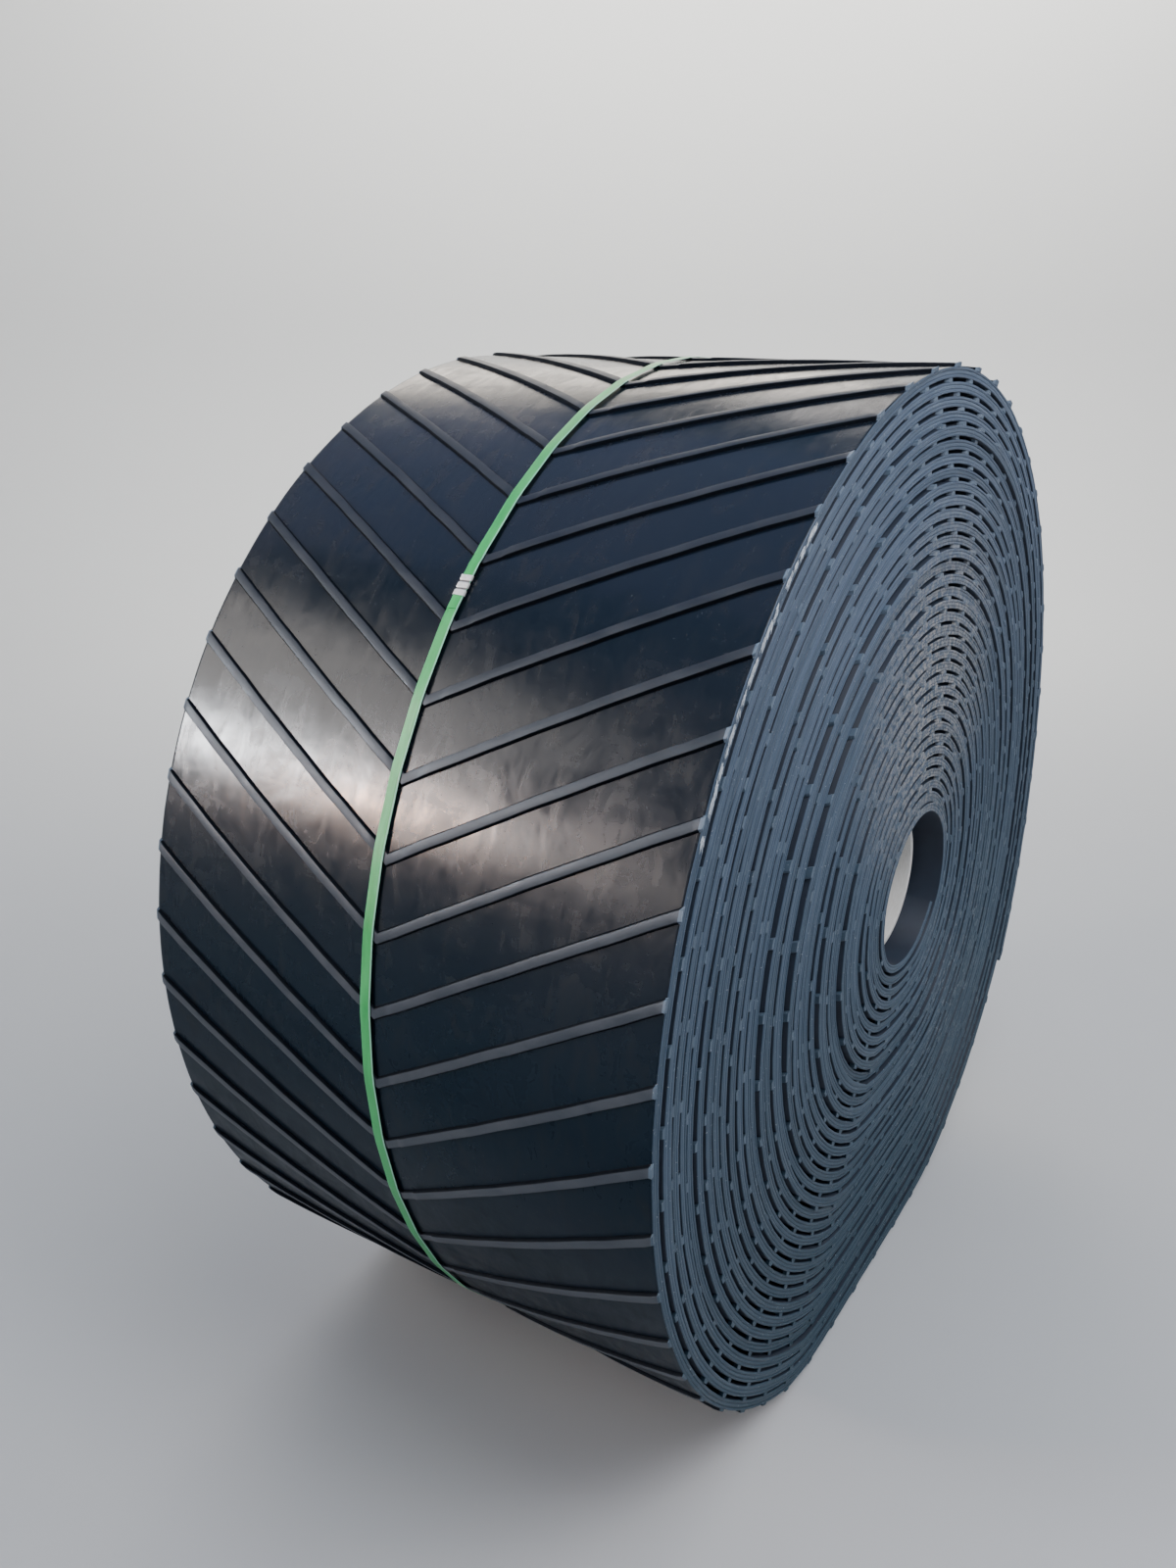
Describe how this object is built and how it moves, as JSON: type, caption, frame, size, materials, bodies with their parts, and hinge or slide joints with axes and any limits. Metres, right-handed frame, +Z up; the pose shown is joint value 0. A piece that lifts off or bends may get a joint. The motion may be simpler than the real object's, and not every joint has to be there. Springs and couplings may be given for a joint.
{
  "type": "conveyor belt roll",
  "caption": "Strapped roll of rubber conveyor belting with V-shaped cleats, wound on a core tube, resting on its flattened underside.",
  "frame": {"origin": "centre of the roll's box at floor level, under the middle of the roll", "axes": "+X along the roll's axis towards the face on the right of the picture, -Y towards the front of the roll, +Z up"},
  "size_m": [0.8, 1.6374, 1.5678],
  "materials": {
    "cover_rubber": "smooth moulded black rubber, semi-gloss, with streaks of wear",
    "cleat_rubber": "moulded black rubber, slightly duller on the tops",
    "fabric_plies": "rubber-impregnated fabric plies, cut edge, blue-grey",
    "core_board": "pale matt winding tube",
    "strap_plastic": "embossed green strapping band",
    "seal_steel": "zinc plated steel seal"
  },
  "bodies": {
    "root": {"top_cover": "cover_rubber", "fabric_carcass": "fabric_plies", "bottom_cover": "cover_rubber", "chevron_01": "cleat_rubber", "chevron_02": "cleat_rubber", "chevron_03": "cleat_rubber", "chevron_04": "cleat_rubber", "chevron_05": "cleat_rubber", "chevron_06": "cleat_rubber", "chevron_07": "cleat_rubber", "chevron_08": "cleat_rubber", "chevron_09": "cleat_rubber", "chevron_10": "cleat_rubber", "chevron_11": "cleat_rubber", "chevron_12": "cleat_rubber", "chevron_13": "cleat_rubber", "chevron_14": "cleat_rubber", "chevron_15": "cleat_rubber", "chevron_16": "cleat_rubber", "chevron_17": "cleat_rubber", "chevron_18": "cleat_rubber", "chevron_19": "cleat_rubber", "chevron_20": "cleat_rubber", "chevron_21": "cleat_rubber", "chevron_22": "cleat_rubber", "chevron_23": "cleat_rubber", "chevron_24": "cleat_rubber", "chevron_25": "cleat_rubber", "chevron_26": "cleat_rubber", "chevron_27": "cleat_rubber", "chevron_28": "cleat_rubber", "chevron_29": "cleat_rubber", "chevron_30": "cleat_rubber", "chevron_31": "cleat_rubber", "chevron_32": "cleat_rubber", "chevron_33": "cleat_rubber", "chevron_34": "cleat_rubber", "chevron_35": "cleat_rubber", "chevron_36": "cleat_rubber", "chevron_37": "cleat_rubber", "chevron_38": "cleat_rubber", "chevron_39": "cleat_rubber", "chevron_40": "cleat_rubber", "chevron_41": "cleat_rubber", "chevron_42": "cleat_rubber", "chevron_43": "cleat_rubber", "chevron_44": "cleat_rubber", "chevron_45": "cleat_rubber", "chevron_46": "cleat_rubber", "chevron_47": "cleat_rubber", "chevron_48": "cleat_rubber", "chevron_49": "cleat_rubber", "chevron_50": "cleat_rubber", "chevron_51": "cleat_rubber", "core_tube": "core_board", "strap": "strap_plastic", "strap_seal": "seal_steel"}
  },
  "joints": []
}
